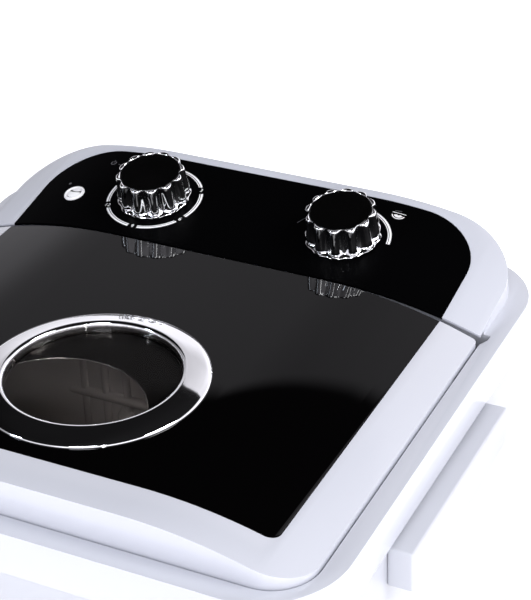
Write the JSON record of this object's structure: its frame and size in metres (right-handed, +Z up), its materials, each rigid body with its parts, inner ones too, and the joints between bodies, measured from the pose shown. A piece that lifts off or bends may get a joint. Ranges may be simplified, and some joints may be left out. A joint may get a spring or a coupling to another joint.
{
  "type": "single-tub washing machine",
  "caption": "Small single-tub washing machine with a hinged windowed lid, a sloping control panel with scalloped knobs and a belt-driven pulsator.",
  "frame": {"origin": "on the floor under the middle of the machine", "axes": "+X to the user's right, +Y to the back (the control panel side), +Z up"},
  "size_m": [0.456, 0.415, 0.7364],
  "materials": {
    "white_shell": "satin",
    "white_gloss": "gloss",
    "grey_base": "satin",
    "foot_rubber": "matte",
    "zinc_steel": "satin",
    "black_panel": "satin",
    "black_lid": "mirror gloss",
    "chrome": "polished",
    "black_cap": "gloss",
    "natural_nylon": "satin",
    "smoked_window": "gloss",
    "tub_plastic": "satin",
    "pulsator_plastic": "satin",
    "cast_metal": "cast",
    "bronze": "satin",
    "motor_paint": "painted black"
  },
  "bodies": {
    "machine": {"cabinet": "white_shell", "base_tray": "grey_base", "feet": "foot_rubber", "rear_cover": "white_shell", "cover_screws": "zinc_steel", "side_grips": "white_shell", "top_frame": "white_gloss", "tub_deck": "white_gloss", "control_panel": "black_panel", "timer_unit": "natural_nylon", "mode_switch": "natural_nylon", "inlet_funnel": "white_gloss", "inlet_duct": "grey_base", "wash_tub": "tub_plastic", "drain_grille": "tub_plastic", "lint_filter": "tub_plastic", "bearing_housing": "cast_metal", "shaft_bushes": "bronze", "shaft_seal": "foot_rubber", "drive_belt": "foot_rubber", "motor": "motor_paint", "motor_plate": "zinc_steel", "plate_bolts": "zinc_steel", "capacitor": "natural_nylon", "terminal_box": "grey_base", "drain_valve": "grey_base", "drain_pipe": "grey_base", "drain_spout": "grey_base", "cable_gland": "foot_rubber"},
    "lid": {"lid_frame": "white_gloss", "lid_panel": "black_lid", "window_ring": "chrome", "window": "smoked_window", "hinge_pins": "zinc_steel"},
    "timer_dial": {"timer_knob": "chrome", "timer_knob_cap": "black_cap", "timer_spindle": "natural_nylon"},
    "mode_dial": {"mode_knob": "chrome", "mode_knob_cap": "black_cap", "mode_spindle": "natural_nylon"},
    "agitator": {"pulsator": "pulsator_plastic", "pulsator_screw": "zinc_steel", "drive_shaft": "zinc_steel", "tub_pulley": "grey_base"},
    "rotor": {"motor_pulley": "cast_metal", "motor_shaft": "zinc_steel"},
    "drain_plug": {"valve_plug": "foot_rubber"}
  },
  "joints": [
    {"name": "lid_hinge", "type": "hinge", "parent": "machine", "child": "lid", "pos_m": [0, 0.072, 0.68], "axis": [-1, 0, 0], "range_deg": [0, 95]},
    {"name": "timer_turn", "type": "hinge", "parent": "machine", "child": "timer_dial", "pos_m": [-0.074, 0.14321, 0.70866], "axis": [0, -0.1805, 0.9836], "range_deg": [-300, 0]},
    {"name": "mode_turn", "type": "hinge", "parent": "machine", "child": "mode_dial", "pos_m": [0.08, 0.14321, 0.70866], "axis": [0, -0.1805, 0.9836], "range_deg": [0, 120]},
    {"name": "agitator_spin", "type": "hinge", "parent": "machine", "child": "agitator", "pos_m": [0, -0.064, 0.25], "axis": [0, 0, 1], "continuous": true},
    {"name": "motor_spin", "type": "hinge", "parent": "machine", "child": "rotor", "pos_m": [0, 0.112, 0.25], "axis": [0, 0, 1], "continuous": true},
    {"name": "plug_lift", "type": "slide", "parent": "machine", "child": "drain_plug", "axis": [0, 0, 1], "range_m": [0, 0.012]}
  ],
  "couplings": [
    {"joint": "motor_spin", "follows": "agitator_spin", "ratio": 4.8321},
    {"joint": "plug_lift", "follows": "mode_turn", "m_per_rad": 0.0057}
  ]
}
